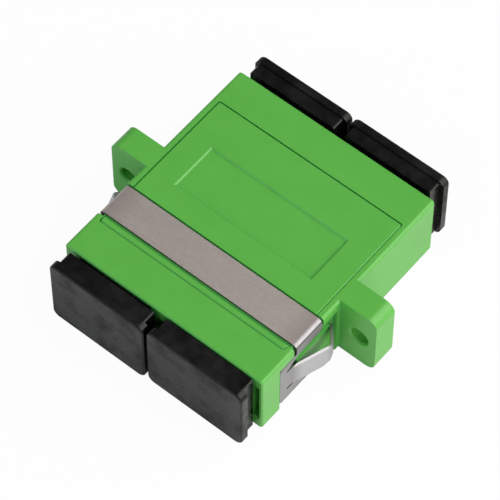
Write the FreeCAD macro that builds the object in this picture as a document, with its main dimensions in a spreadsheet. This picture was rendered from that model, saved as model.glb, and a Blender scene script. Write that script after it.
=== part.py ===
import FreeCAD, Part
import os
import re
import Sketcher

# Twin fibre adapter for SC connectors, with a flange, a spring clip and four dust plugs.
# The origin is at the middle of the underside. X runs across the two fibre axes, Y runs
# along them with the clip side at negative Y, and Z points up to the cover.

doc = FreeCAD.newDocument("sc_fibre_adapter")
sheet = doc.addObject("Spreadsheet::Sheet", "Sizes")

# Driving sizes in millimetres
SIZES = {
    # Housing walls and ports
    "port_pitch": 12.7,  # distance between the two fibre axes
    "port_width": 9.05,  # width of a connector port
    "port_height": 7.45,  # height of a connector port
    "side_wall": 2.125,  # wall beside each port
    "floor_wall": 0.825,  # wall under the ports
    "roof_wall": 0.825,  # wall over the ports and thickness of the cover
    "body_length": 28.1,  # length of the housing along the fibres
    "edge_round": 0.4,  # radius of the long edges of the housing
    "mouth_bevel": 0.15,  # bevel of the outer edges round each end face
    "port_bevel": 0.3,  # lead in bevel round each port mouth
    "keyway_width": 2.4,  # width of the key slot under each port
    "keyway_length": 6.0,  # length of the key slot from the end face

    # Coring that keeps the moulded walls thin
    "core_wall": 0.75,  # wall between a port and the slot beside it
    "core_skin": 0.55,  # wall outside the slot beside a port
    "core_height": 6.0,  # height of the coring slots
    "core_depth": 2.5,  # depth of the coring slots from the end face
    "core_rim": 0.15,  # bevel round the mouth of each side slot
    "web_skin": 0.85,  # wall between a port and the slot in the middle web

    # Flange ears
    "ear_reach": 4.6,  # how far each ear stands out from the housing side
    "ear_thickness": 2.95,  # thickness of the ears along the fibres
    "ear_round": 1.2,  # radius of the outer ear corners
    "hole_offset": 2.4,  # distance of the fixing hole from the housing side
    "hole_diameter": 2.2,  # diameter of the fixing holes
    "hole_rim": 0.2,  # bevel at both ends of the fixing holes

    # Cover let into the top
    "cover_margin": 0.85,  # rim of the housing beside the cover
    "cover_length": 19.3,  # length of the cover along the fibres
    "cover_corner": 0.2,  # corner cut of the cover
    "cover_gap": 0.06,  # clearance round the cover
    "cover_bevel": 0.15,  # bevel round the upper edge of the cover
    "label_width": 18.2,  # width of the label recess across the fibres
    "label_length": 6.1,  # length of the label recess along the fibres
    "label_offset": 1.62,  # distance of the recess middle behind the flange middle
    "label_depth": 0.2,  # depth of the label recess
    "label_slope": 0.18,  # bevel on the walls of the label recess

    # Spring clip and the pockets that take it
    "clip_thickness": 0.3,  # thickness of the spring strip
    "clip_bend": 0.3,  # inner radius where the strip turns down
    "strap_width": 4.05,  # width of the strip across the top
    "strap_offset": 6.525,  # distance of the strip middle ahead of the flange middle
    "strap_sink": 0.05,  # how far the strip lies below the cover face
    "strap_gap_front": 0.45,  # free space ahead of the strip in its groove
    "strap_gap_rear": 0.2,  # free space behind the strip in its groove
    "pocket_depth": 0.5,  # depth of the side pockets
    "pocket_gap": 0.05,  # space between the side plate and the front end of its pocket
    "pocket_rear": 2.1,  # rear end of the side pockets ahead of the flange middle
    "pocket_ledge": 1.3,  # height of the band left above the side pockets
    "plate_rim": 1.1,  # strip of the side plates ahead of the tab slits
    "plate_gap": 0.1,  # space between the side plates and the band above their pockets
    "plate_arm": 1.59,  # width of the arm below the tab
    "plate_corner": 0.4,  # corner radius of the side plates
    "window_drop": 1.8,  # upper edge of the window below the cover face
    "window_step": 1.0,  # how far the window ends short of the bend of the tab
    "slit_reach": 0.65,  # how far the slits run past the bend of the tab
    "slit_width": 0.3,  # width of the slits beside the tab
    "tab_gap": 1.25,  # space between the strap leg and the tab
    "tab_width": 3.0,  # width of the tab
    "tab_bend": 9.45,  # where the tab leaves the side plate, ahead of the flange middle
    "tab_peak": 4.65,  # crest of the tab ahead of the flange middle
    "tab_rise": 1.65,  # how far the crest stands out from the housing side
    "tab_end": 2.6,  # free end of the tab ahead of the flange middle
    "tab_end_sink": 0.1,  # how far the free end lies inside the housing side
    "tab_nose": 0.45,  # outer radius of the crest
    "tab_hollow": 0.3,  # inner radius of the crest
    "tab_root_round": 1.0,  # radius where the tab leaves the side plate
    "tab_corner_run": 3.2,  # start of the rounded lower corner of the tab, ahead of its free end
    "tab_knee_run": 2.4,  # first bend of that corner, ahead of the free end
    "tab_knee_rise": 0.5,  # first bend of that corner, above the lower edge of the tab
    "tab_neck_run": 2.0,  # second bend of that corner, ahead of the free end
    "tab_neck_rise": 1.7,  # second bend of that corner, above the lower edge of the tab
    "tab_lip_rise": 2.3,  # lower edge of the free end above the lower edge of the tab
    "leg_corner": 0.35,  # corner cut at the rear of each strap leg
    "boss_gap_front": 0.1,  # space between the front edge of the window and the catch boss
    "boss_rear": 3.0,  # rear end of the catch boss ahead of the flange middle
    "boss_gap_above": 1.15,  # space between the strap leg and the catch boss
    "boss_gap_below": 0.5,  # space between the catch boss and the arm below it
    "boss_sink": 0.15,  # how far the catch boss lies inside the housing side
    "boss_root": 0.5,  # how deep the boss is rooted in the wall behind the pocket

    # Latch halves that hold the sleeves and grip the connectors
    "latch_base_wing": 0.55,  # how far the latch base reaches into each channel wall
    "latch_base_sink": 0.3,  # how far the latch base reaches into the floor
    "latch_base_thickness": 1.1,  # thickness of each latch base
    "latch_base_corner": 0.6,  # corner cut of the latch base
    "latch_gap": 0.08,  # clearance round the latch bases
    "tube_wall": 0.55,  # wall of the sleeve tube
    "tube_lip": 0.5,  # thickness of the lip that keeps the sleeve in
    "ferrule_gap": 0.25,  # space round a ferrule where it passes the lip
    "hook_side_gap": 1.025,  # space between a hook and the side of the port
    "hook_thickness": 0.75,  # thickness of a hook arm
    "hook_height": 3.6,  # width of a hook arm, measured upwards
    "hook_reach": 7.6,  # tip of the hooks from the flange middle
    "hook_head": 1.0,  # length of the hook head
    "hook_catch": 0.45,  # how far the hook head stands inwards
    "hook_lead": 0.35,  # lead in slope at the tip of the hook head

    # Split sleeves
    "sleeve_bore": 2.5,  # bore of the split sleeve
    "sleeve_wall": 0.35,  # wall of the split sleeve
    "sleeve_length": 11.4,  # length of the split sleeve
    "sleeve_slit": 0.45,  # width of the slit along the sleeve
    "sleeve_gap": 0.05,  # clearance round and beyond the sleeve

    # Dust plugs
    "plug_face_gap": 0.2,  # space between the face plates of neighbouring plugs
    "plug_face_rise": 0.2,  # how far the face plate stands past the housing above and below
    "plug_face_thickness": 1.0,  # thickness of the plug face plate
    "plug_face_corner": 0.9,  # corner radius of the plug face plate
    "plug_face_round": 0.25,  # radius of the edge round the plug face
    "plug_side_step": 0.6,  # how far the face plate stands past the shoulder block at each side
    "plug_top_step": 0.2,  # how far the face plate stands past the block above and below
    "plug_block_length": 1.55,  # length of the shoulder block
    "plug_block_corner": 0.15,  # corner cut of the shoulder block
    "plug_tongue_length": 9.0,  # length of the part that goes into the port
    "plug_tongue_gap": 0.06,  # clearance of the plug in the port
    "plug_tongue_wall": 0.7,  # wall of the part that goes into the port
    "plug_tongue_bevel": 0.3,  # lead in bevel of the plug tip
    "plug_front_wall": 1.2,  # solid thickness at the front of the plug
    "plug_gap_front_left": 0.45,  # space between the front left plug and the housing
    "plug_gap_front_right": 0.25,  # space between the front right plug and the housing
    "plug_gap_rear": 0.5,  # space between a rear plug and the housing
}

for row, (name, value) in enumerate(SIZES.items(), start=1):
    sheet.set(f"A{row}", name)
    sheet.set(f"B{row}", str(value))
    sheet.setAlias(f"B{row}", name)
doc.recompute()

# Lengths that differ by less than this count as equal
TOLERANCE = 1e-4

# Sizes that follow from the driving ones
DERIVED = {
    "body_width": "port_pitch + port_width + 2 * side_wall",
    "body_half": "body_width / 2",
    "body_height": "port_height + floor_wall + roof_wall",
    "fibre_height": "floor_wall + port_height / 2",
    "seat_height": "body_height - roof_wall",
    "cover_width": "body_width - 2 * cover_margin",
    "flange_width": "body_width + 2 * ear_reach",
    "hole_pitch": "body_width + 2 * hole_offset",
    "core_inner": "port_pitch / 2 + port_width / 2 + core_wall",
    "core_outer": "body_half - core_skin",
    "web_slot": "port_pitch - port_width - 2 * web_skin",
    "strap_height": "body_height - strap_sink",
    "groove_depth": "strap_sink + clip_thickness",
    "groove_front": "strap_offset + strap_width / 2 + strap_gap_front",
    "groove_rear": "strap_offset - strap_width / 2 - strap_gap_rear",
    "strap_front": "strap_offset + strap_width / 2",
    "strap_rear": "strap_offset - strap_width / 2",
    "window_front": "tab_bend - window_step",
    "slit_root": "tab_bend + slit_reach",
    "plate_front": "slit_root + plate_rim",
    "pocket_front": "plate_front + pocket_gap",
    "plate_ledge": "pocket_ledge + plate_gap",
    "tab_drop": "window_drop + tab_gap",
    "plate_drop": "tab_drop + tab_width + slit_width + plate_arm",
    "boss_front": "window_front - boss_gap_front",
    "boss_drop": "window_drop + boss_gap_above",
    "boss_height": "plate_drop - plate_arm - boss_gap_below - boss_drop",
    "tab_slope": "tab_rise / (tab_bend - tab_peak)",
    "tab_return": "(tab_rise + tab_end_sink) / (tab_peak - tab_end)",
    "tab_stretch": "sqrt(1 + tab_return * tab_return)",
    "tab_nose_shift": "clip_thickness * (tab_stretch - 1) / (tab_slope + tab_return)",
    "tab_floor": "body_height - tab_drop - tab_width",
    "latch_base_width": "port_width + 2 * latch_base_wing",
    "latch_base_height": "port_height + latch_base_sink - latch_gap",
    "tube_bore": "sleeve_bore + 2 * sleeve_wall + 2 * sleeve_gap",
    "tube_diameter": "tube_bore + 2 * tube_wall",
    "tube_reach": "sleeve_length / 2 + sleeve_gap + tube_lip",
    "ferrule_opening": "sleeve_bore + 2 * ferrule_gap",
    "plug_face_width": "port_pitch - plug_face_gap",
    "plug_face_height": "body_height + 2 * plug_face_rise",
    "plug_block_width": "plug_face_width - 2 * plug_side_step",
    "plug_block_height": "plug_face_height - 2 * plug_top_step",
    "tongue_width": "port_width - 2 * plug_tongue_gap",
    "tongue_height": "port_height - 2 * plug_tongue_gap",
}


def formula(text):
    """Turn words such as body_half into references to the sheet."""
    def swap(match):
        word = match.group(0)
        if word == "sqrt":
            return word
        if word in DERIVED:
            return "(" + formula(DERIVED[word]) + ")"
        return "Sizes." + word
    return re.sub(r"[a-z][a-z_]+", swap, text)


def number(text):
    """Work out a formula with the present sizes."""
    return float(sheet.evalExpression(formula(text)))


def bind(thing, path, text):
    """Tie one property of an object to the sheet."""
    thing.setExpression(path, formula(text))


def new_body(name):
    body = doc.addObject("PartDesign::Body", name)
    body.Label = name
    return body


def new_sketch(body, name, role, across="0", up="0", out="0"):
    """Attach a sketch to an origin plane of its body, moved by three formulas."""
    sketch = body.newObject("Sketcher::SketchObject", body.Name + "_" + name)
    plane = [item for item in body.Origin.OriginFeatures if item.Role == role][0]
    sketch.AttachmentSupport = [(plane, "")]
    sketch.MapMode = "FlatFace"
    bind(sketch, "AttachmentOffset.Base.x", across)
    bind(sketch, "AttachmentOffset.Base.y", up)
    bind(sketch, "AttachmentOffset.Base.z", out)
    return sketch


def draw_rectangle(sketch, width, height):
    """Draw a rectangle centred on the sketch origin."""
    x = number(width) / 2
    y = number(height) / 2
    corners = [(-x, -y), (x, -y), (x, y), (-x, y)]
    points = [FreeCAD.Vector(px, py, 0) for px, py in corners]
    first = sketch.GeometryCount
    for index in range(4):
        sketch.addGeometry(Part.LineSegment(points[index], points[(index + 1) % 4]), False)
    for index in range(4):
        after = first + (index + 1) % 4
        sketch.addConstraint(Sketcher.Constraint("Coincident", first + index, 2, after, 1))
    for index in (0, 2):
        sketch.addConstraint(Sketcher.Constraint("Horizontal", first + index))
    for index in (1, 3):
        sketch.addConstraint(Sketcher.Constraint("Vertical", first + index))
    sketch.addConstraint(Sketcher.Constraint("Symmetric", first, 1, first + 2, 1, -1, 1))
    wide = sketch.addConstraint(Sketcher.Constraint("DistanceX", first, 1, first, 2, 2 * x))
    bind(sketch, f"Constraints[{wide}]", width)
    high = sketch.addConstraint(Sketcher.Constraint("DistanceY", first + 1, 1, first + 1, 2, 2 * y))
    bind(sketch, f"Constraints[{high}]", height)


def draw_circle(sketch, diameter):
    """Draw a circle centred on the sketch origin."""
    circle = Part.Circle(FreeCAD.Vector(0, 0, 0), FreeCAD.Vector(0, 0, 1), number(diameter) / 2)
    first = sketch.addGeometry(circle, False)
    sketch.addConstraint(Sketcher.Constraint("Coincident", first, 3, -1, 1))
    wide = sketch.addConstraint(Sketcher.Constraint("Diameter", first, number(diameter)))
    bind(sketch, f"Constraints[{wide}]", diameter)


def draw_outline(sketch, corners):
    """Draw a closed outline through corners given as pairs of formulas."""
    points = [FreeCAD.Vector(number(across), number(up), 0) for across, up in corners]
    first = sketch.GeometryCount
    count = len(points)
    for index in range(count):
        sketch.addGeometry(Part.LineSegment(points[index], points[(index + 1) % count]), False)
    for index in range(count):
        after = first + (index + 1) % count
        sketch.addConstraint(Sketcher.Constraint("Coincident", first + index, 2, after, 1))
    for index, (across, up) in enumerate(corners, start=first):
        x = number(across)
        y = number(up)
        place = sketch.addConstraint(Sketcher.Constraint("DistanceX", -1, 1, index, 1, x))
        bind(sketch, f"Constraints[{place}]", across)
        place = sketch.addConstraint(Sketcher.Constraint("DistanceY", -1, 1, index, 1, y))
        bind(sketch, f"Constraints[{place}]", up)


def add_pad(body, sketch, length, midplane=False, reverse=False):
    pad = body.newObject("PartDesign::Pad", sketch.Name + "_pad")
    pad.Profile = sketch
    pad.Refine = False
    bind(pad, "Length", length)
    pad.Midplane = midplane
    pad.Reversed = reverse
    doc.recompute()
    return pad


def add_pocket(body, sketch, length, midplane=False, reverse=False):
    """Cut a pocket and make sure that it removed something."""
    before = body.Shape.Volume
    pocket = body.newObject("PartDesign::Pocket", sketch.Name + "_pocket")
    pocket.Profile = sketch
    pocket.Refine = False
    bind(pocket, "Length", length)
    pocket.Midplane = midplane
    pocket.Reversed = reverse
    doc.recompute()
    if before - body.Shape.Volume < TOLERANCE:
        raise ValueError(pocket.Name + " removes nothing")
    return pocket


def add_mirror(body, features, role):
    """Mirror features about an origin plane of the body."""
    mirror = body.newObject("PartDesign::Mirrored", features[-1].Name + "_mirror")
    mirror.Originals = features
    mirror.Refine = False
    plane = [item for item in body.Origin.OriginFeatures if item.Role == role][0]
    mirror.MirrorPlane = (plane, [""])
    body.Tip = mirror
    doc.recompute()
    return mirror


def edges_where(body, test):
    """Name the edges of the present solid for which the test holds."""
    names = []
    for index, edge in enumerate(body.Tip.Shape.Edges, start=1):
        box = edge.BoundBox
        if test(edge, box):
            names.append(f"Edge{index}")
    if not names:
        raise ValueError("no edge found on " + body.Name)
    return names


def near(value, text):
    return abs(value - number(text)) < TOLERANCE


def flat_at(low, high, text):
    """True where an extent is closed up at the place that the formula gives."""
    return near(low, text) and near(high, text)


def on_end_face(box, text):
    """True for an edge that lies in a plane across the fibres, at either end."""
    return box.YLength < TOLERANCE and near(abs(box.YMin), text)


def add_fillet(body, name, edges, radius):
    fillet = body.newObject("PartDesign::Fillet", body.Name + "_" + name)
    fillet.Base = (body.Tip if body.Tip != fillet else fillet.BaseFeature, edges)
    bind(fillet, "Radius", radius)
    fillet.Refine = False
    doc.recompute()
    return fillet


def add_chamfer(body, name, edges, length):
    chamfer = body.newObject("PartDesign::Chamfer", body.Name + "_" + name)
    chamfer.Base = (body.Tip if body.Tip != chamfer else chamfer.BaseFeature, edges)
    bind(chamfer, "Size", length)
    chamfer.Refine = False
    doc.recompute()
    return chamfer


def upright(edge, box):
    return box.ZLength > TOLERANCE and box.XLength < TOLERANCE and box.YLength < TOLERANCE


def along_y(edge, box):
    return box.YLength > TOLERANCE and box.XLength < TOLERANCE and box.ZLength < TOLERANCE


def along_x(edge, box):
    return box.XLength > TOLERANCE and box.YLength < TOLERANCE and box.ZLength < TOLERANCE


def make_housing():
    """One moulding with both channels, the flange ears, the clip pockets and the coring."""
    body = new_body("housing")

    sketch = new_sketch(body, "block", "XZ_Plane", "0", "body_height / 2")
    draw_rectangle(sketch, "body_width", "body_height")
    add_pad(body, sketch, "body_length", midplane=True)
    corners = edges_where(body, along_y)
    add_fillet(body, "long_edges", corners, "edge_round")

    sketch = new_sketch(body, "flange", "XZ_Plane", "0", "body_height / 2")
    draw_rectangle(sketch, "flange_width", "body_height")
    add_pad(body, sketch, "ear_thickness", midplane=True)
    corners = edges_where(body, lambda edge, box: along_y(edge, box)
                          and near(abs(box.XMin), "flange_width / 2"))
    add_fillet(body, "ear_corners", corners, "ear_round")

    outline = edges_where(body, lambda edge, box: on_end_face(box, "body_length / 2"))
    add_chamfer(body, "mouth_edges", outline, "mouth_bevel")

    sketch = new_sketch(body, "port", "XZ_Plane", "port_pitch / 2", "fibre_height")
    draw_rectangle(sketch, "port_width", "port_height")
    port = add_pocket(body, sketch, "body_length", midplane=True)
    add_mirror(body, [port], "YZ_Plane")
    inner = number("(port_pitch - port_width) / 2") - TOLERANCE
    outer = number("(port_pitch + port_width) / 2") + TOLERANCE
    mouths = edges_where(body, lambda edge, box: on_end_face(box, "body_length / 2")
                         and min(abs(box.XMin), abs(box.XMax)) > inner
                         and max(abs(box.XMin), abs(box.XMax)) < outer)
    add_chamfer(body, "port_bevels", mouths, "port_bevel")

    sketch = new_sketch(body, "keyway", "XY_Plane", "port_pitch / 2", "-body_length / 2")
    draw_rectangle(sketch, "keyway_width", "2 * keyway_length")
    keyway = add_pocket(body, sketch, "fibre_height", reverse=True)
    add_mirror(body, [keyway], "YZ_Plane")
    sketch = new_sketch(body, "keyway_rear", "XY_Plane", "port_pitch / 2", "body_length / 2")
    draw_rectangle(sketch, "keyway_width", "2 * keyway_length")
    keyway = add_pocket(body, sketch, "fibre_height", reverse=True)
    add_mirror(body, [keyway], "YZ_Plane")

    add_coring(body)
    add_flange_holes(body)
    add_cover_seat(body)
    add_clip_pockets(body)
    return body


def add_coring(body):
    """Narrow slots beside the ports and in the middle web, from both end faces."""
    middle = "(core_inner + core_outer) / 2"
    width = "core_outer - core_inner"
    sketch = new_sketch(body, "side_core", "XZ_Plane", middle, "fibre_height", "body_length / 2")
    draw_rectangle(sketch, width, "core_height")
    front = add_pocket(body, sketch, "core_depth")
    add_mirror(body, [front], "YZ_Plane")
    sketch = new_sketch(body, "side_core_rear", "XZ_Plane", middle, "fibre_height", "-body_length / 2")
    draw_rectangle(sketch, width, "core_height")
    rear = add_pocket(body, sketch, "core_depth", reverse=True)
    add_mirror(body, [rear], "YZ_Plane")
    rims = edges_where(body, lambda edge, box: on_end_face(box, "body_length / 2")
                       and min(abs(box.XMin), abs(box.XMax)) > number("core_inner") - TOLERANCE
                       and max(abs(box.XMin), abs(box.XMax)) < number("core_outer") + TOLERANCE)
    add_chamfer(body, "core_rims", rims, "core_rim")
    sketch = new_sketch(body, "web_core", "XZ_Plane", "0", "fibre_height", "body_length / 2")
    draw_rectangle(sketch, "web_slot", "core_height")
    add_pocket(body, sketch, "core_depth")
    sketch = new_sketch(body, "web_core_rear", "XZ_Plane", "0", "fibre_height", "-body_length / 2")
    draw_rectangle(sketch, "web_slot", "core_height")
    add_pocket(body, sketch, "core_depth", reverse=True)


def add_flange_holes(body):
    """A fixing hole through each ear, bevelled at both ends."""
    sketch = new_sketch(body, "hole", "XZ_Plane", "hole_pitch / 2", "fibre_height")
    draw_circle(sketch, "hole_diameter")
    hole = add_pocket(body, sketch, "ear_thickness", midplane=True)
    add_mirror(body, [hole], "YZ_Plane")
    rims = edges_where(body, lambda edge, box: on_end_face(box, "ear_thickness / 2")
                       and near(box.XLength, "hole_diameter"))
    add_chamfer(body, "hole_rims", rims, "hole_rim")


def add_cover_seat(body):
    """The recess that takes the cover, and the grooves that take the latch bases."""
    sketch = new_sketch(body, "seat", "XY_Plane", "0", "0", "body_height")
    draw_rectangle(sketch, "cover_width + 2 * cover_gap", "cover_length + 2 * cover_gap")
    add_pocket(body, sketch, "roof_wall")
    corners = edges_where(body, lambda edge, box: upright(edge, box)
                          and near(abs(box.XMin), "cover_width / 2 + cover_gap")
                          and near(abs(box.YMin), "cover_length / 2 + cover_gap"))
    add_chamfer(body, "seat_corners", corners, "cover_corner")
    sketch = new_sketch(body, "latch_seat", "XY_Plane", "port_pitch / 2", "0", "seat_height")
    draw_rectangle(sketch, "latch_base_width + 2 * latch_gap", "2 * (latch_base_thickness + latch_gap)")
    seat = add_pocket(body, sketch, "port_height + latch_base_sink")
    add_mirror(body, [seat], "YZ_Plane")


def add_clip_pockets(body):
    """The groove across the top and the side pockets with their catch bosses."""
    middle = "-(groove_front + groove_rear) / 2"
    sketch = new_sketch(body, "strap_groove", "YZ_Plane", middle, "body_height")
    draw_rectangle(sketch, "groove_front - groove_rear", "2 * groove_depth")
    add_pocket(body, sketch, "body_width", midplane=True)

    sketch = new_sketch(body, "side_pocket", "YZ_Plane", "-pocket_front", "0", "body_half")
    draw_outline(sketch, [
        ("0", "-edge_round"),
        ("pocket_front - pocket_rear", "-edge_round"),
        ("pocket_front - pocket_rear", "body_height - pocket_ledge"),
        ("pocket_front - groove_rear", "body_height - pocket_ledge"),
        ("pocket_front - groove_rear", "body_height"),
        ("pocket_front - groove_front", "body_height"),
        ("pocket_front - groove_front", "body_height - pocket_ledge"),
        ("0", "body_height - pocket_ledge"),
    ])
    pocket = add_pocket(body, sketch, "pocket_depth")
    add_mirror(body, [pocket], "YZ_Plane")

    shoulders = edges_where(body, lambda edge, box: along_y(edge, box)
                            and near(abs(box.XMin), "body_half - pocket_depth")
                            and near(box.ZMin, "body_height - groove_depth"))
    add_chamfer(body, "strap_shoulders", shoulders, "clip_bend / 2")

    boss_floor = "body_height - boss_drop - boss_height"
    sketch = new_sketch(body, "boss", "XZ_Plane", "body_half - pocket_depth", boss_floor, "boss_rear")
    draw_outline(sketch, [
        ("-boss_root", "0"),
        ("pocket_depth - boss_sink", "0"),
        ("pocket_depth - boss_sink", "boss_height"),
        ("-boss_root", "boss_height"),
    ])
    boss = add_pad(body, sketch, "boss_front - boss_rear")
    add_mirror(body, [boss], "YZ_Plane")


def make_cover():
    """A flat lid with the groove for the clip and a label recess with sloping sides."""
    body = new_body("cover")
    sketch = new_sketch(body, "plate", "XY_Plane", "0", "0", "seat_height")
    draw_rectangle(sketch, "cover_width", "cover_length")
    add_pad(body, sketch, "roof_wall")
    add_chamfer(body, "corners", edges_where(body, upright), "cover_corner")
    rim = edges_where(body, lambda edge, box: flat_at(box.ZMin, box.ZMax, "body_height"))
    add_chamfer(body, "rim", rim, "cover_bevel")
    sketch = new_sketch(body, "label", "XY_Plane", "0", "label_offset", "body_height")
    draw_rectangle(sketch, "label_width - 2 * label_slope", "label_length - 2 * label_slope")
    add_pocket(body, sketch, "label_depth")
    half_width = number("label_width / 2")
    half_length = number("label_length / 2")
    centre = number("label_offset")
    lip = edges_where(body, lambda edge, box: flat_at(box.ZMin, box.ZMax, "body_height")
                      and max(abs(box.XMin), abs(box.XMax)) < half_width
                      and abs((box.YMin + box.YMax) / 2 - centre) < half_length)
    add_chamfer(body, "label_slopes", lip, "label_slope")
    middle = "-(groove_front + groove_rear) / 2"
    sketch = new_sketch(body, "strap_groove", "YZ_Plane", middle, "body_height")
    draw_rectangle(sketch, "groove_front - groove_rear", "2 * groove_depth")
    add_pocket(body, sketch, "body_width", midplane=True)
    return body


def make_clip():
    """One folded strip: a strap over the top, a plate on each side and a sprung tab in each plate."""
    body = new_body("spring_clip")

    sketch = new_sketch(body, "strap", "XZ_Plane", "0", "strap_height", "strap_rear")
    outer = "body_half"
    inner = "body_half - clip_thickness"
    leg = "-(window_drop - strap_sink)"
    draw_outline(sketch, [
        ("-(" + outer + ")", leg),
        ("-(" + inner + ")", leg),
        ("-(" + inner + ")", "-clip_thickness"),
        (inner, "-clip_thickness"),
        (inner, leg),
        (outer, leg),
        (outer, "0"),
        ("-(" + outer + ")", "0"),
    ])
    add_pad(body, sketch, "strap_width")
    bends = edges_where(body, lambda edge, box: along_y(edge, box)
                        and near(abs(box.XMin), "body_half") and near(box.ZMin, "strap_height"))
    add_fillet(body, "outer_bends", bends, "clip_bend + clip_thickness")
    bends = edges_where(body, lambda edge, box: along_y(edge, box)
                        and near(abs(box.XMin), "body_half - clip_thickness")
                        and near(box.ZMin, "strap_height - clip_thickness"))
    add_fillet(body, "inner_bends", bends, "clip_bend")

    sketch = new_sketch(body, "plate", "YZ_Plane", "-plate_front", "body_height - plate_drop",
                        "body_half - clip_thickness")
    slit_floor = "plate_drop - tab_drop - tab_width - slit_width"
    draw_outline(sketch, [
        ("0", "0"),
        ("plate_front - strap_rear", "0"),
        ("plate_front - strap_rear", slit_floor),
        ("plate_front - slit_root", slit_floor),
        ("plate_front - slit_root", slit_floor + " + slit_width"),
        ("plate_front - tab_bend", slit_floor + " + slit_width"),
        ("plate_front - tab_bend", "plate_drop - tab_drop"),
        ("plate_front - slit_root", "plate_drop - tab_drop"),
        ("plate_front - slit_root", "plate_drop - tab_drop + slit_width"),
        ("plate_front - window_front", "plate_drop - window_drop"),
        ("plate_front - strap_rear", "plate_drop - window_drop"),
        ("plate_front - strap_rear", "plate_drop - plate_ledge"),
        ("0", "plate_drop - plate_ledge"),
    ])
    plate = add_pad(body, sketch, "clip_thickness")
    add_mirror(body, [plate], "YZ_Plane")
    corners = edges_where(body, lambda edge, box: along_x(edge, box) and near(box.YMin, "-strap_rear")
                          and near(box.ZMin, "body_height - window_drop"))
    add_chamfer(body, "leg_corners", corners, "leg_corner")
    add_tabs(body)
    return body


def add_tabs(body):
    """The sprung tabs: an arm that leans out, a rounded crest and a lip that turns back in."""
    crest_out = "body_half + tab_rise"
    end_out = "body_half - tab_end_sink"
    shift = "clip_thickness * tab_return / tab_stretch"
    sketch = new_sketch(body, "tab", "XY_Plane", "0", "0", "tab_floor")
    draw_outline(sketch, [
        ("body_half", "-tab_bend"),
        (crest_out, "-tab_peak"),
        (end_out, "-tab_end"),
        (end_out + " - clip_thickness / tab_stretch", "-tab_end - " + shift),
        (crest_out + " - clip_thickness - tab_slope * tab_nose_shift", "-tab_peak - tab_nose_shift"),
        ("body_half - clip_thickness", "-tab_bend"),
    ])
    tab = add_pad(body, sketch, "tab_width")
    add_mirror(body, [tab], "YZ_Plane")
    crests = edges_where(body, lambda edge, box: upright(edge, box) and near(abs(box.XMin), crest_out))
    add_fillet(body, "crests", crests, "tab_nose")
    inner = edges_where(body, lambda edge, box: upright(edge, box)
                        and near(box.YMin, "-tab_peak - tab_nose_shift"))
    add_fillet(body, "crest_hollows", inner, "tab_hollow")
    roots = edges_where(body, lambda edge, box: upright(edge, box) and near(box.YMin, "-tab_bend")
                        and near(abs(box.XMin), "body_half"))
    add_fillet(body, "tab_roots", roots, "tab_root_round")
    sketch = new_sketch(body, "tab_corner", "YZ_Plane", "-tab_end", "tab_floor")
    draw_outline(sketch, [
        ("-tab_corner_run", "0"),
        ("clip_thickness", "0"),
        ("clip_thickness", "tab_lip_rise"),
        ("0", "tab_lip_rise"),
        ("-tab_neck_run", "tab_neck_rise"),
        ("-tab_knee_run", "tab_knee_rise"),
    ])
    add_pocket(body, sketch, "2 * body_width", midplane=True)
    corners = edges_where(body, lambda edge, box: along_x(edge, box)
                          and near(box.YMin, "-plate_front"))
    add_fillet(body, "plate_corners", corners, "plate_corner")


def make_latch(name, side, turned):
    """One half of the inner holder: a base, a tube for the sleeve and two catch hooks."""
    body = new_body(name)
    base_middle = "floor_wall - latch_base_sink + latch_base_height / 2"
    sketch = new_sketch(body, "base", "XZ_Plane", "0", base_middle)
    draw_rectangle(sketch, "latch_base_width", "latch_base_height")
    add_pad(body, sketch, "latch_base_thickness")
    add_chamfer(body, "base_corners", edges_where(body, along_y), "latch_base_corner")
    sketch = new_sketch(body, "tube", "XZ_Plane", "0", "fibre_height")
    draw_circle(sketch, "tube_diameter")
    add_pad(body, sketch, "tube_reach")

    sketch = new_sketch(body, "hook", "XY_Plane", "0", "0", "fibre_height - hook_height / 2")
    outer = "port_width / 2 - hook_side_gap"
    inner = outer + " - hook_thickness"
    neck = "hook_head - hook_reach"
    draw_outline(sketch, [
        (inner, "-latch_base_thickness / 2"),
        (outer, "-latch_base_thickness / 2"),
        (outer, "-hook_reach"),
        (inner + " - hook_catch + hook_lead", "-hook_reach"),
        (inner + " - hook_catch", "hook_lead - hook_reach"),
        (inner + " - hook_catch", neck),
        (inner, neck),
    ])
    hook = add_pad(body, sketch, "hook_height")
    add_mirror(body, [hook], "YZ_Plane")

    sketch = new_sketch(body, "bore", "XZ_Plane", "0", "fibre_height")
    draw_circle(sketch, "tube_bore")
    add_pocket(body, sketch, "tube_reach - tube_lip", reverse=True)
    sketch = new_sketch(body, "opening", "XZ_Plane", "0", "fibre_height")
    draw_circle(sketch, "ferrule_opening")
    add_pocket(body, sketch, "tube_reach", reverse=True)
    place_part(body, side + "port_pitch / 2", "0", "0", turned)
    return body


def make_sleeve(name, side):
    """A ceramic tube slit along its length, which grips two ferrules end to end."""
    body = new_body(name)
    sketch = new_sketch(body, "tube", "XZ_Plane")
    draw_circle(sketch, "sleeve_bore + 2 * sleeve_wall")
    add_pad(body, sketch, "sleeve_length", midplane=True)
    sketch = new_sketch(body, "bore", "XZ_Plane")
    draw_circle(sketch, "sleeve_bore")
    add_pocket(body, sketch, "sleeve_length", midplane=True)
    sketch = new_sketch(body, "slit", "XZ_Plane", "0", "sleeve_bore / 2 + sleeve_wall")
    draw_rectangle(sketch, "sleeve_slit", "sleeve_bore")
    add_pocket(body, sketch, "sleeve_length", midplane=True)
    place_part(body, side + "port_pitch / 2", "0", "fibre_height", False)
    return body


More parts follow.
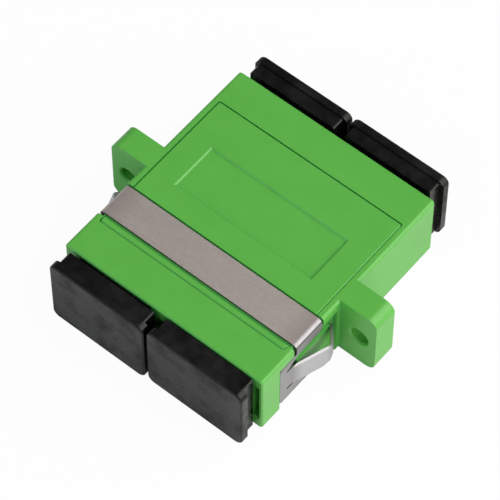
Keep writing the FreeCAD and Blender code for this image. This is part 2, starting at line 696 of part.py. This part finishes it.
def make_plug(name, side, turned, gap):
    """A hollow dust plug: face plate, shoulder block and the part that goes into the port."""
    body = new_body(name)
    sketch = new_sketch(body, "face", "XZ_Plane", "0", "0", "plug_block_length")
    draw_rectangle(sketch, "plug_face_width", "plug_face_height")
    add_pad(body, sketch, "plug_face_thickness")
    add_fillet(body, "face_corners", edges_where(body, along_y), "plug_face_corner")
    front = "-plug_block_length - plug_face_thickness"
    outline = edges_where(body, lambda edge, box: flat_at(box.YMin, box.YMax, front))
    add_fillet(body, "face_edge", outline, "plug_face_round")

    sketch = new_sketch(body, "block", "XZ_Plane")
    draw_rectangle(sketch, "plug_block_width", "plug_block_height")
    add_pad(body, sketch, "plug_block_length")
    corners = edges_where(body, lambda edge, box: along_y(edge, box)
                          and near(abs(box.XMin), "plug_block_width / 2"))
    add_chamfer(body, "block_corners", corners, "plug_block_corner")

    sketch = new_sketch(body, "tongue", "XZ_Plane")
    draw_rectangle(sketch, "tongue_width", "tongue_height")
    add_pad(body, sketch, "plug_tongue_length", reverse=True)
    tip = edges_where(body, lambda edge, box: flat_at(box.YMin, box.YMax, "plug_tongue_length"))
    add_chamfer(body, "tip", tip, "plug_tongue_bevel")
    sketch = new_sketch(body, "hollow", "XZ_Plane", "0", "0", "-plug_tongue_length")
    draw_rectangle(sketch, "tongue_width - 2 * plug_tongue_wall", "tongue_height - 2 * plug_tongue_wall")
    depth = "plug_tongue_length + plug_block_length + plug_face_thickness - plug_front_wall"
    add_pocket(body, sketch, depth, reverse=True)
    along = "body_length / 2 + " + gap if turned else "-body_length / 2 - " + gap
    place_part(body, side + "port_pitch / 2", along, "fibre_height", turned)
    return body


def place_part(body, across, along, up, turned):
    """Move a part to its seat, turned half round for the rear end."""
    turn = FreeCAD.Rotation(FreeCAD.Vector(0, 0, 1), 180 if turned else 0)
    body.Placement = FreeCAD.Placement(FreeCAD.Vector(0, 0, 0), turn)
    bind(body, "Placement.Base.x", across)
    bind(body, "Placement.Base.y", along)
    bind(body, "Placement.Base.z", up)


parts = [
    make_housing(),
    make_cover(),
    make_clip(),
    make_latch("latch_front_left", "-", False),
    make_latch("latch_front_right", "", False),
    make_latch("latch_rear_left", "-", True),
    make_latch("latch_rear_right", "", True),
    make_sleeve("sleeve_left", "-"),
    make_sleeve("sleeve_right", ""),
    make_plug("dust_plug_front_left", "-", False, "plug_gap_front_left"),
    make_plug("dust_plug_front_right", "", False, "plug_gap_front_right"),
    make_plug("dust_plug_rear_left", "-", True, "plug_gap_rear"),
    make_plug("dust_plug_rear_right", "", True, "plug_gap_rear"),
]

for body in parts:
    body.Tip.Refine = True
doc.recompute()
for thing in doc.Objects:
    if "Invalid" in thing.State or "Error" in thing.State:
        raise ValueError(thing.Name + " failed: " + str(thing.State))
for body in parts:
    if body.Shape.isNull() or not body.Shape.isValid():
        raise ValueError(body.Label + " has no valid shape")

os.makedirs("parts", exist_ok=True)
for body in parts:
    body.Shape.exportStep("parts/" + body.Label + ".step")
    print(body.Label, len(body.Shape.Solids), round(body.Shape.Volume, 2), body.Shape.BoundBox)
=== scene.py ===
import math

import bmesh
import bpy
from mathutils import Matrix, Vector


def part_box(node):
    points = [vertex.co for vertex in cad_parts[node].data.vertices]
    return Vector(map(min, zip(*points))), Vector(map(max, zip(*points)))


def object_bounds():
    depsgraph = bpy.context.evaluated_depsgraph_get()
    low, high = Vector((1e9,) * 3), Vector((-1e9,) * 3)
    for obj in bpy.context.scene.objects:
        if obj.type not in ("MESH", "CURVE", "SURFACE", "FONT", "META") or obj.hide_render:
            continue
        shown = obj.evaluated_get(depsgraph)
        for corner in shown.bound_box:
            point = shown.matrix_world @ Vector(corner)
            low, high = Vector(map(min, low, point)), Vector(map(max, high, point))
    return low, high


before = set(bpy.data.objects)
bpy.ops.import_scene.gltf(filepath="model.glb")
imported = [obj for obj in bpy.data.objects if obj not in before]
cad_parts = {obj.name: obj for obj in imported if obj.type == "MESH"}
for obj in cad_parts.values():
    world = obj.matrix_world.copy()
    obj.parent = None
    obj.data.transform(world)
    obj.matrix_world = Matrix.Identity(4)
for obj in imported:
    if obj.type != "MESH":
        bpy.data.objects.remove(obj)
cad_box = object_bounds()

# Twin fibre adapter with a spring clip and four dust plugs. Lengths are in metres; the
# origin is at the middle of the underside, the clip side faces -Y and the cover faces +Z.

# Housing and cover. Both are moulded in one green plastic with a fine spark-eroded skin.
# The cover lies in a recess of the housing and is welded there.
MM = 0.001
GREEN = (0.108, 0.450, 0.068, 1)
GREEN_DEEP = (0.099, 0.428, 0.062, 1)
GREEN_SHADE = (0.060, 0.41, 0.095, 1)
GREEN_ROUGHNESS = (0.278, 0.318)
GREEN_SPECULAR = 0.44
GREEN_CREVICE = 1.0 * MM
CREVICE_RAYS = 8
CLOUD_SIZE = 3.0 * MM
FLOW_SIZE = 9.0 * MM
SKIN_SIZE = 0.10 * MM
SKIN_DEPTH = 0.004 * MM
SPECKLE_LOW = 0.3
SPECKLE_HIGH = 0.7


def new_material(name):
    """Start a material and give back its node tree and its shader."""
    material = bpy.data.materials.new(name)
    material.use_nodes = True
    tree = material.node_tree
    shader = tree.nodes["Principled BSDF"]
    return material, tree, shader


def fill(tree, socket, value):
    """Give a socket a plain value, or link it to what comes out of another node."""
    if isinstance(value, bpy.types.NodeSocket):
        tree.links.new(value, socket)
    else:
        socket.default_value = value


def add_node(tree, kind, inputs):
    """Add a node and fill its inputs by name."""
    made = tree.nodes.new(kind)
    for name, value in inputs.items():
        fill(tree, made.inputs[name], value)
    return made


def calculate(tree, operation, *values):
    """Work out a value from numbers and from what comes out of other nodes."""
    made = tree.nodes.new("ShaderNodeMath")
    made.operation = operation
    for socket, value in zip(made.inputs, values):
        fill(tree, socket, value)
    return made.outputs["Value"]


def surface_place(tree, stretch=(1, 1, 1)):
    """Object coordinates, stretched along the axes where a finish has a direction."""
    place = tree.nodes.new("ShaderNodeTexCoord")
    mapping = add_node(tree, "ShaderNodeMapping", {"Vector": place.outputs["Object"],
                                                   "Scale": stretch})
    return mapping.outputs["Vector"]


def speckle(tree, place, size, detail=3.0, roughness=0.5):
    """Noise whose spots are about the given size."""
    noise = add_node(tree, "ShaderNodeTexNoise", {"Vector": place, "Scale": 1 / size,
                                                  "Detail": detail, "Roughness": roughness})
    return noise.outputs["Fac"]


def spread(tree, value, low, high, start=SPECKLE_LOW, end=SPECKLE_HIGH):
    """Stretch a value between two levels: the low one at the start, the high one at the end."""
    ramp = add_node(tree, "ShaderNodeMapRange", {"Value": value, "From Min": start,
                                                 "From Max": end, "To Min": low,
                                                 "To Max": high})
    return ramp.outputs["Result"]


def blend(tree, share, first, second):
    """Mix two colours; the share of the second one goes from 0 to 1."""
    mix = tree.nodes.new("ShaderNodeMix")
    mix.data_type = "RGBA"
    fill(tree, mix.inputs["A"], first)
    fill(tree, mix.inputs["B"], second)
    fill(tree, mix.inputs["Factor"], share)
    return mix.outputs["Result"]


def paint_crevice_shade(tree, colour, deep, reach):
    """Paint shade: change a colour to a deeper one where walls stand close together."""
    openness = add_node(tree, "ShaderNodeAmbientOcclusion", {"Distance": reach})
    openness.samples = CREVICE_RAYS
    hidden = calculate(tree, "SUBTRACT", 1.0, openness.outputs["AO"])
    return blend(tree, hidden, colour, deep)


def add_relief(tree, shader, height, depth, below=None):
    """Raise the surface by a height; a relief from before lies under it."""
    bump = add_node(tree, "ShaderNodeBump", {"Height": height, "Distance": depth})
    if below is not None:
        tree.links.new(below, bump.inputs["Normal"])
    tree.links.new(bump.outputs["Normal"], shader.inputs["Normal"])
    return bump.outputs["Normal"]


def dress(names, material):
    """Give CAD pieces a material in place of the plain one."""
    for name in names:
        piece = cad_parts[name]
        for holder in piece.material_slots:
            holder.material = material


def moulded_green():
    """Green plastic, faintly clouded, with painted shade in seams and pockets."""
    material, tree, shader = new_material("moulded_green")
    shader.inputs["Specular IOR Level"].default_value = GREEN_SPECULAR
    place = surface_place(tree)
    cloud = speckle(tree, place, CLOUD_SIZE, detail=4.0)
    flow = speckle(tree, place, FLOW_SIZE, detail=2.0)
    skin = speckle(tree, place, SKIN_SIZE, detail=2.0)
    colour = blend(tree, spread(tree, cloud, 0, 1), GREEN, GREEN_DEEP)
    # Painted shade in seams, slots and pockets, where walls stand close.
    shaded = paint_crevice_shade(tree, colour, GREEN_SHADE, GREEN_CREVICE)
    tree.links.new(shaded, shader.inputs["Base Color"])
    tree.links.new(spread(tree, flow, *GREEN_ROUGHNESS), shader.inputs["Roughness"])
    add_relief(tree, shader, skin, SKIN_DEPTH)
    return material


dress(["housing", "cover"], moulded_green())

# Inner holders and split sleeves. The holders are natural engineering plastic and clip
# together round a ground ceramic sleeve in each channel.
HOLDER_COLOUR = (0.66, 0.62, 0.50, 1)
HOLDER_SHADE = (0.58, 0.54, 0.42, 1)
HOLDER_ROUGHNESS = (0.30, 0.42)
CERAMIC_COLOUR = (0.84, 0.83, 0.79, 1)
CERAMIC_ROUGHNESS = (0.10, 0.20)
GROUND_STRETCH = (1, 0.05, 1)
GROUND_SIZE = 0.05 * MM
GROUND_DEPTH = 0.001 * MM
ENDS = ["front_left", "front_right", "rear_left", "rear_right"]


def natural_plastic():
    """Cream plastic with a faint cloud and a fine skin."""
    material, tree, shader = new_material("natural_plastic")
    place = surface_place(tree)
    cloud = speckle(tree, place, CLOUD_SIZE)
    colour = blend(tree, spread(tree, cloud, 0, 1), HOLDER_COLOUR, HOLDER_SHADE)
    tree.links.new(colour, shader.inputs["Base Color"])
    tree.links.new(spread(tree, cloud, *HOLDER_ROUGHNESS), shader.inputs["Roughness"])
    add_relief(tree, shader, speckle(tree, place, SKIN_SIZE), SKIN_DEPTH)
    return material


def ground_ceramic():
    """White ceramic with grinding marks along the bore."""
    material, tree, shader = new_material("ground_ceramic")
    shader.inputs["Base Color"].default_value = CERAMIC_COLOUR
    marks = speckle(tree, surface_place(tree, GROUND_STRETCH), GROUND_SIZE)
    tree.links.new(spread(tree, marks, *CERAMIC_ROUGHNESS), shader.inputs["Roughness"])
    add_relief(tree, shader, marks, GROUND_DEPTH)
    return material


dress(["latch_" + end for end in ENDS], natural_plastic())
dress(["sleeve_left", "sleeve_right"], ground_ceramic())

# Spring clip. It is one strip of rolled stainless steel, folded over the cover and down
# both sides. The grain runs along the strip. Its colour carries painted light: painted shade
# towards the ends of the strap, on the sides and folds, on the legs, in a line along the
# lower side of each fold and on the tabs past their crest; a painted sheen on the sprung
# tabs; and painted highlights on the cut edges of their arms. The bend at the left end is
# coloured lighter than the right one.
STEEL = (0.67, 0.605, 0.575, 1)
STEEL_DARK = (0.58, 0.520, 0.490, 1)
# Painted shade towards the ends of the strap.
STEEL_END_SHADE = (0.50, 0.435, 0.415, 1)
# Painted shade on the sides and folds.
STEEL_SIDE_SHADE = (0.42, 0.415, 0.432, 1)
# Painted shade on the legs and on the tabs past their crest.
STEEL_LEG_SHADE = (0.34, 0.33, 0.34, 1)
# Painted shade where other surfaces stand close to the clip.
STEEL_SHADE = (0.05, 0.05, 0.05, 1)
LEFT_BEND = (0.70, 0.645, 0.62, 1)
# Painted shade in a line along the lower side of each fold.
BEND_SHADE_LINE = (0.03, 0.03, 0.03, 1)
# Painted sheen on the sprung tabs.
TAB_SHEEN = (0.61, 0.61, 0.64, 1)
# Painted highlight on the cut edges of the tab arms.
EDGE_HIGHLIGHT = (0.97, 0.94, 0.98, 1)
END_SHADE_STRENGTH = 0.8
# How strongly the tabs past their crest take the painted shade of the legs.
CREST_SHADE = 0.6
STEEL_ROUGHNESS = (0.50, 0.62)
HIGHLIGHT_ROUGHNESS = 0.95
STEEL_CREVICE = 2.0 * MM
GRAIN_STRETCH = (0.03, 1, 0.03)
GRAIN_SIZE = 0.06 * MM
GRAIN_DEPTH = 0.0015 * MM
MOTTLE_SIZE = 0.25 * MM

# Each zone of the clip fades in from a first place, where it has no effect, to a second.
# They are distances aside from the middle, heights, or places along Y, and for the cut
# edges also how level a face is.
END_FADE = (10.0 * MM, 12.2 * MM)
SIDE_FADE = (12.35 * MM, 12.60 * MM)
LEFT_FADE = (-12.35 * MM, -12.60 * MM)
OUTSIDE_FADE = (12.60 * MM, 12.70 * MM)
BEND_FADE = (8.66 * MM, 8.76 * MM)
LEG_FADE_DOWN = (8.76 * MM, 8.66 * MM)
LEG_FADE_UP = (6.8 * MM, 7.6 * MM)
LINE_FADE_DOWN = (8.83 * MM, 8.73 * MM)
LINE_FADE_UP = (8.63 * MM, 8.73 * MM)
TAB_SHEEN_FADE = (13.05 * MM, 13.45 * MM)
CREST_FADE = (-5.5 * MM, -4.5 * MM)
ARM_FADE = (-4.7 * MM, -5.2 * MM)
ARM_OUT_FADE = (13.01 * MM, 13.05 * MM)
LEVEL_FADE = (0.7, 0.9)


def product(tree, first, *others):
    """Multiply what comes out of several nodes."""
    for other in others:
        first = calculate(tree, "MULTIPLY", first, other)
    return first


def fade_in(tree, value, places):
    """Nothing up to the first place, one from the second place on."""
    return spread(tree, value, 0, 1, *places)


def arm_edge_highlight(tree, aside, along):
    """One on the level cut edges of the tab arms, which stand out past the body; they carry a
    painted highlight.
    """
    facing = tree.nodes.new("ShaderNodeTexCoord")
    parts = add_node(tree, "ShaderNodeSeparateXYZ", {"Vector": facing.outputs["Normal"]})
    level = fade_in(tree, calculate(tree, "ABSOLUTE", parts.outputs["Z"]), LEVEL_FADE)
    outside = fade_in(tree, aside, ARM_OUT_FADE)
    return product(tree, level, outside, fade_in(tree, along, ARM_FADE))


def left_bend(tree, across, height):
    """One on the bend at the strap's left end, which is coloured lighter than the right one."""
    return product(tree, fade_in(tree, across, LEFT_FADE), fade_in(tree, height, BEND_FADE))


def bent_leg(tree, aside, height):
    """One on the upright legs of the strap, below the bend, where painted shade goes."""
    below = fade_in(tree, height, LEG_FADE_DOWN)
    above = fade_in(tree, height, LEG_FADE_UP)
    return product(tree, below, above, fade_in(tree, aside, OUTSIDE_FADE))


def bend_shade_line(tree, aside, height):
    """One on the line of painted shade along the lower side of the bend."""
    below = fade_in(tree, height, LINE_FADE_DOWN)
    above = fade_in(tree, height, LINE_FADE_UP)
    return product(tree, above, below, fade_in(tree, aside, OUTSIDE_FADE))


def rolled_steel():
    """Rolled steel whose tone changes from zone to zone of the folded strip, with painted
    shade, sheen and highlights.
    """
    material, tree, shader = new_material("rolled_steel")
    shader.inputs["Metallic"].default_value = 1.0
    place = surface_place(tree)
    mottle = speckle(tree, place, MOTTLE_SIZE, detail=5.0)
    grain = speckle(tree, surface_place(tree, GRAIN_STRETCH), GRAIN_SIZE)
    axes = add_node(tree, "ShaderNodeSeparateXYZ", {"Vector": place})
    across = axes.outputs["X"]
    along = axes.outputs["Y"]
    height = axes.outputs["Z"]
    aside = calculate(tree, "ABSOLUTE", across)
    tab_sheen = fade_in(tree, aside, TAB_SHEEN_FADE)
    past_crest = spread(tree, along, 0, CREST_SHADE, *CREST_FADE)
    # Zones of painted shade (ends, sides, legs, line below the fold, tabs past their crest) and
    # painted sheen (tabs) over the strip's own tone; the left bend is coloured lighter.
    zones = [
        (spread(tree, aside, 0, END_SHADE_STRENGTH, *END_FADE), STEEL_END_SHADE),
        (fade_in(tree, aside, SIDE_FADE), STEEL_SIDE_SHADE),
        (left_bend(tree, across, height), LEFT_BEND),
        (bent_leg(tree, aside, height), STEEL_LEG_SHADE),
        (bend_shade_line(tree, aside, height), BEND_SHADE_LINE),
        (tab_sheen, TAB_SHEEN),
        (product(tree, tab_sheen, past_crest), STEEL_LEG_SHADE),
    ]
    colour = blend(tree, spread(tree, mottle, 0, 1), STEEL, STEEL_DARK)
    for share, tone in zones:
        colour = blend(tree, share, colour, tone)
    # Painted shade where other surfaces stand close, as in the slits and above the tabs.
    shaded = paint_crevice_shade(tree, colour, STEEL_SHADE, STEEL_CREVICE)
    # The level cut edges of the tab arms get a painted highlight.
    highlighted_edges = arm_edge_highlight(tree, aside, along)
    tree.links.new(blend(tree, highlighted_edges, shaded, EDGE_HIGHLIGHT), shader.inputs["Base Color"])
    roughness = add_node(tree, "ShaderNodeMix", {"Factor": highlighted_edges,
                                                 "A": spread(tree, grain, *STEEL_ROUGHNESS),
                                                 "B": HIGHLIGHT_ROUGHNESS})
    tree.links.new(roughness.outputs["Result"], shader.inputs["Roughness"])
    below = add_relief(tree, shader, mottle, GRAIN_DEPTH)
    add_relief(tree, shader, grain, GRAIN_DEPTH, below=below)
    return material


dress(["spring_clip"], rolled_steel())

# Dust plugs. They are moulded in soft black plastic, with a satin, slightly clouded face
# and fine handling marks. One plug sits in each port and pulls straight out.
BLACK = (0.001, 0.001, 0.001, 1)
BLACK_WORN = (0.006, 0.006, 0.006, 1)
BLACK_ROUGHNESS = (0.10, 0.54)
BLACK_SPECULAR = 0.31
SMEAR_SIZE = 2.6 * MM
SMEAR_EDGES = (0.34, 0.66)
PLUG_SKIN_SIZE = 0.14 * MM
PLUG_SKIN_DEPTH = 0.006 * MM


def soft_black():
    """Black plastic, duller where handling has smeared it."""
    material, tree, shader = new_material("soft_black")
    shader.inputs["Specular IOR Level"].default_value = BLACK_SPECULAR
    place = surface_place(tree)
    smear = speckle(tree, place, SMEAR_SIZE, detail=6.0, roughness=0.6)
    satin = spread(tree, smear, *BLACK_ROUGHNESS, *SMEAR_EDGES)
    colour = blend(tree, spread(tree, smear, 0, 1), BLACK, BLACK_WORN)
    tree.links.new(colour, shader.inputs["Base Color"])
    tree.links.new(satin, shader.inputs["Roughness"])
    add_relief(tree, shader, speckle(tree, place, PLUG_SKIN_SIZE), PLUG_SKIN_DEPTH)
    return material


dress(["dust_plug_" + end for end in ENDS], soft_black())

# Floor and backdrop. A plain pale sheet that runs up into a low wall all round; the camera
# sees it as white, reflections see it a little whiter, and it keeps a faint shadow.
FLOOR_DROP = 0.02 * MM
FLOOR_RADIUS = 1.2
WALL_HEIGHT = 0.35
SWEEP_SEGMENTS = 64
FLOOR_COLOUR = (0.82, 0.82, 0.82, 1)
WHITE_TO_CAMERA = 0.96
WHITE_IN_REFLECTIONS = 0.10


def pale_sheet():
    """Matt pale paint, mixed with plain white for the camera and for reflections."""
    material, tree, shader = new_material("pale_sheet")
    tree.nodes.remove(shader)
    paint = add_node(tree, "ShaderNodeBsdfDiffuse", {"Color": FLOOR_COLOUR})
    glow = add_node(tree, "ShaderNodeEmission", {"Strength": 1.0})
    ray = tree.nodes.new("ShaderNodeLightPath")
    glossy = ray.outputs["Is Glossy Ray"]
    mirrored = calculate(tree, "MAXIMUM", glossy, ray.outputs["Is Transmission Ray"])
    part = calculate(tree, "MULTIPLY", mirrored, WHITE_IN_REFLECTIONS)
    to_camera = ray.outputs["Is Camera Ray"]
    share = calculate(tree, "MULTIPLY_ADD", to_camera, WHITE_TO_CAMERA, part)
    mix = add_node(tree, "ShaderNodeMixShader", {"Fac": share})
    tree.links.new(paint.outputs["BSDF"], mix.inputs[1])
    tree.links.new(glow.outputs["Emission"], mix.inputs[2])
    tree.links.new(mix.outputs["Shader"], tree.nodes["Material Output"].inputs["Surface"])
    return material


def add_sweep():
    """A round floor whose rim is drawn up into a low wall."""
    mesh = bpy.data.meshes.new("floor")
    shape = bmesh.new()
    bmesh.ops.create_circle(shape, cap_ends=True, segments=SWEEP_SEGMENTS, radius=FLOOR_RADIUS)
    drawn = bmesh.ops.extrude_edge_only(shape, edges=shape.edges[:])
    top = [item for item in drawn["geom"] if isinstance(item, bmesh.types.BMVert)]
    bmesh.ops.translate(shape, verts=top, vec=(0, 0, WALL_HEIGHT))
    bmesh.ops.translate(shape, verts=shape.verts, vec=(0, 0, cad_box[0][2] - FLOOR_DROP))
    shape.to_mesh(mesh)
    shape.free()
    floor = bpy.data.objects.new("floor", mesh)
    bpy.context.scene.collection.objects.link(floor)
    floor.data.materials.append(pale_sheet())


add_sweep()

# Lamps and room light. A wide soft lamp stands behind the adapter on its right, a weaker
# one low on the right and one in front on the left. The room adds a low even light.
ROOM_COLOUR = (1, 1, 1, 1)
ROOM_LEVEL = 0.20
LAMP_DISTANCE = 0.60
LAMPS = {
    "key_lamp": {"towards": (0.62, 0.44, 0.65), "level": 1.12, "width": 0.68,
                 "tint": (1.05, 1.0, 0.96)},
    "side_lamp": {"towards": (0.85, -0.25, 0.45), "level": 0.32, "width": 0.52,
                  "tint": (1.16, 0.95, 1.0)},
    "fill_lamp": {"towards": (-0.30, -0.85, 0.43), "level": 0.54, "width": 0.90,
                  "tint": (0.76, 1.04, 0.98)},
}


def light_room():
    """Even light from all round."""
    world = bpy.context.scene.world or bpy.data.worlds.new("room")
    bpy.context.scene.world = world
    world.use_nodes = True
    background = world.node_tree.nodes["Background"]
    background.inputs["Color"].default_value = ROOM_COLOUR
    background.inputs["Strength"].default_value = ROOM_LEVEL


def add_lamp(name, towards, level, width, tint):
    """A square lamp that lights a surface facing it to the given level."""
    lamp = bpy.data.lights.new(name, "AREA")
    lamp.shape = "SQUARE"
    lamp.size = width
    lamp.color = tint
    lamp.energy = level * (math.pi * LAMP_DISTANCE) ** 2
    holder = bpy.data.objects.new(name, lamp)
    direction = Vector(towards).normalized()
    holder.location = direction * LAMP_DISTANCE
    holder.rotation_mode = "QUATERNION"
    holder.rotation_quaternion = direction.to_track_quat("Z", "Y")
    bpy.context.scene.collection.objects.link(holder)


light_room()
for name, facts in LAMPS.items():
    add_lamp(name, **facts)

# Camera. It looks down on the adapter from the front right, from so far away that the
# perspective is weak. Its place is given from the middle of the housing's top, and its
# lens and sensor are in millimetres.
CAMERA_AZIMUTH = math.radians(39.224)
CAMERA_ELEVATION = math.radians(57.681)
CAMERA_ROLL = math.radians(0.148)
CAMERA_DISTANCE = 328.125 * MM
CAMERA_ASIDE = -0.086 * MM
CAMERA_LIFT = -2.820 * MM
CAMERA_LENS = 230.74
SENSOR_WIDTH = 36.0
NEAR_SHARE = 0.05


def add_camera():
    """A camera whose axes are worked out from its azimuth, elevation and roll."""
    cosine = math.cos(CAMERA_ELEVATION)
    back = Vector((math.sin(CAMERA_AZIMUTH) * cosine, -math.cos(CAMERA_AZIMUTH) * cosine,
                   math.sin(CAMERA_ELEVATION)))
    sideways = Vector((math.cos(CAMERA_AZIMUTH), math.sin(CAMERA_AZIMUTH), 0))
    right = sideways * math.cos(CAMERA_ROLL) + back.cross(sideways) * math.sin(CAMERA_ROLL)
    up = back.cross(right)
    camera = bpy.data.cameras.new("camera")
    camera.lens = CAMERA_LENS
    camera.sensor_width = SENSOR_WIDTH
    camera.clip_start = CAMERA_DISTANCE * NEAR_SHARE
    holder = bpy.data.objects.new("camera", camera)
    top_middle = Vector((0, 0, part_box("housing")[1].z))
    away = back * CAMERA_DISTANCE + right * CAMERA_ASIDE + up * CAMERA_LIFT
    holder.location = top_middle + away
    holder.rotation_mode = "QUATERNION"
    holder.rotation_quaternion = Matrix((right, up, back)).transposed().to_quaternion()
    bpy.context.scene.collection.objects.link(holder)
    bpy.context.scene.camera = holder


add_camera()
bpy.context.scene.view_settings.view_transform = "Standard"
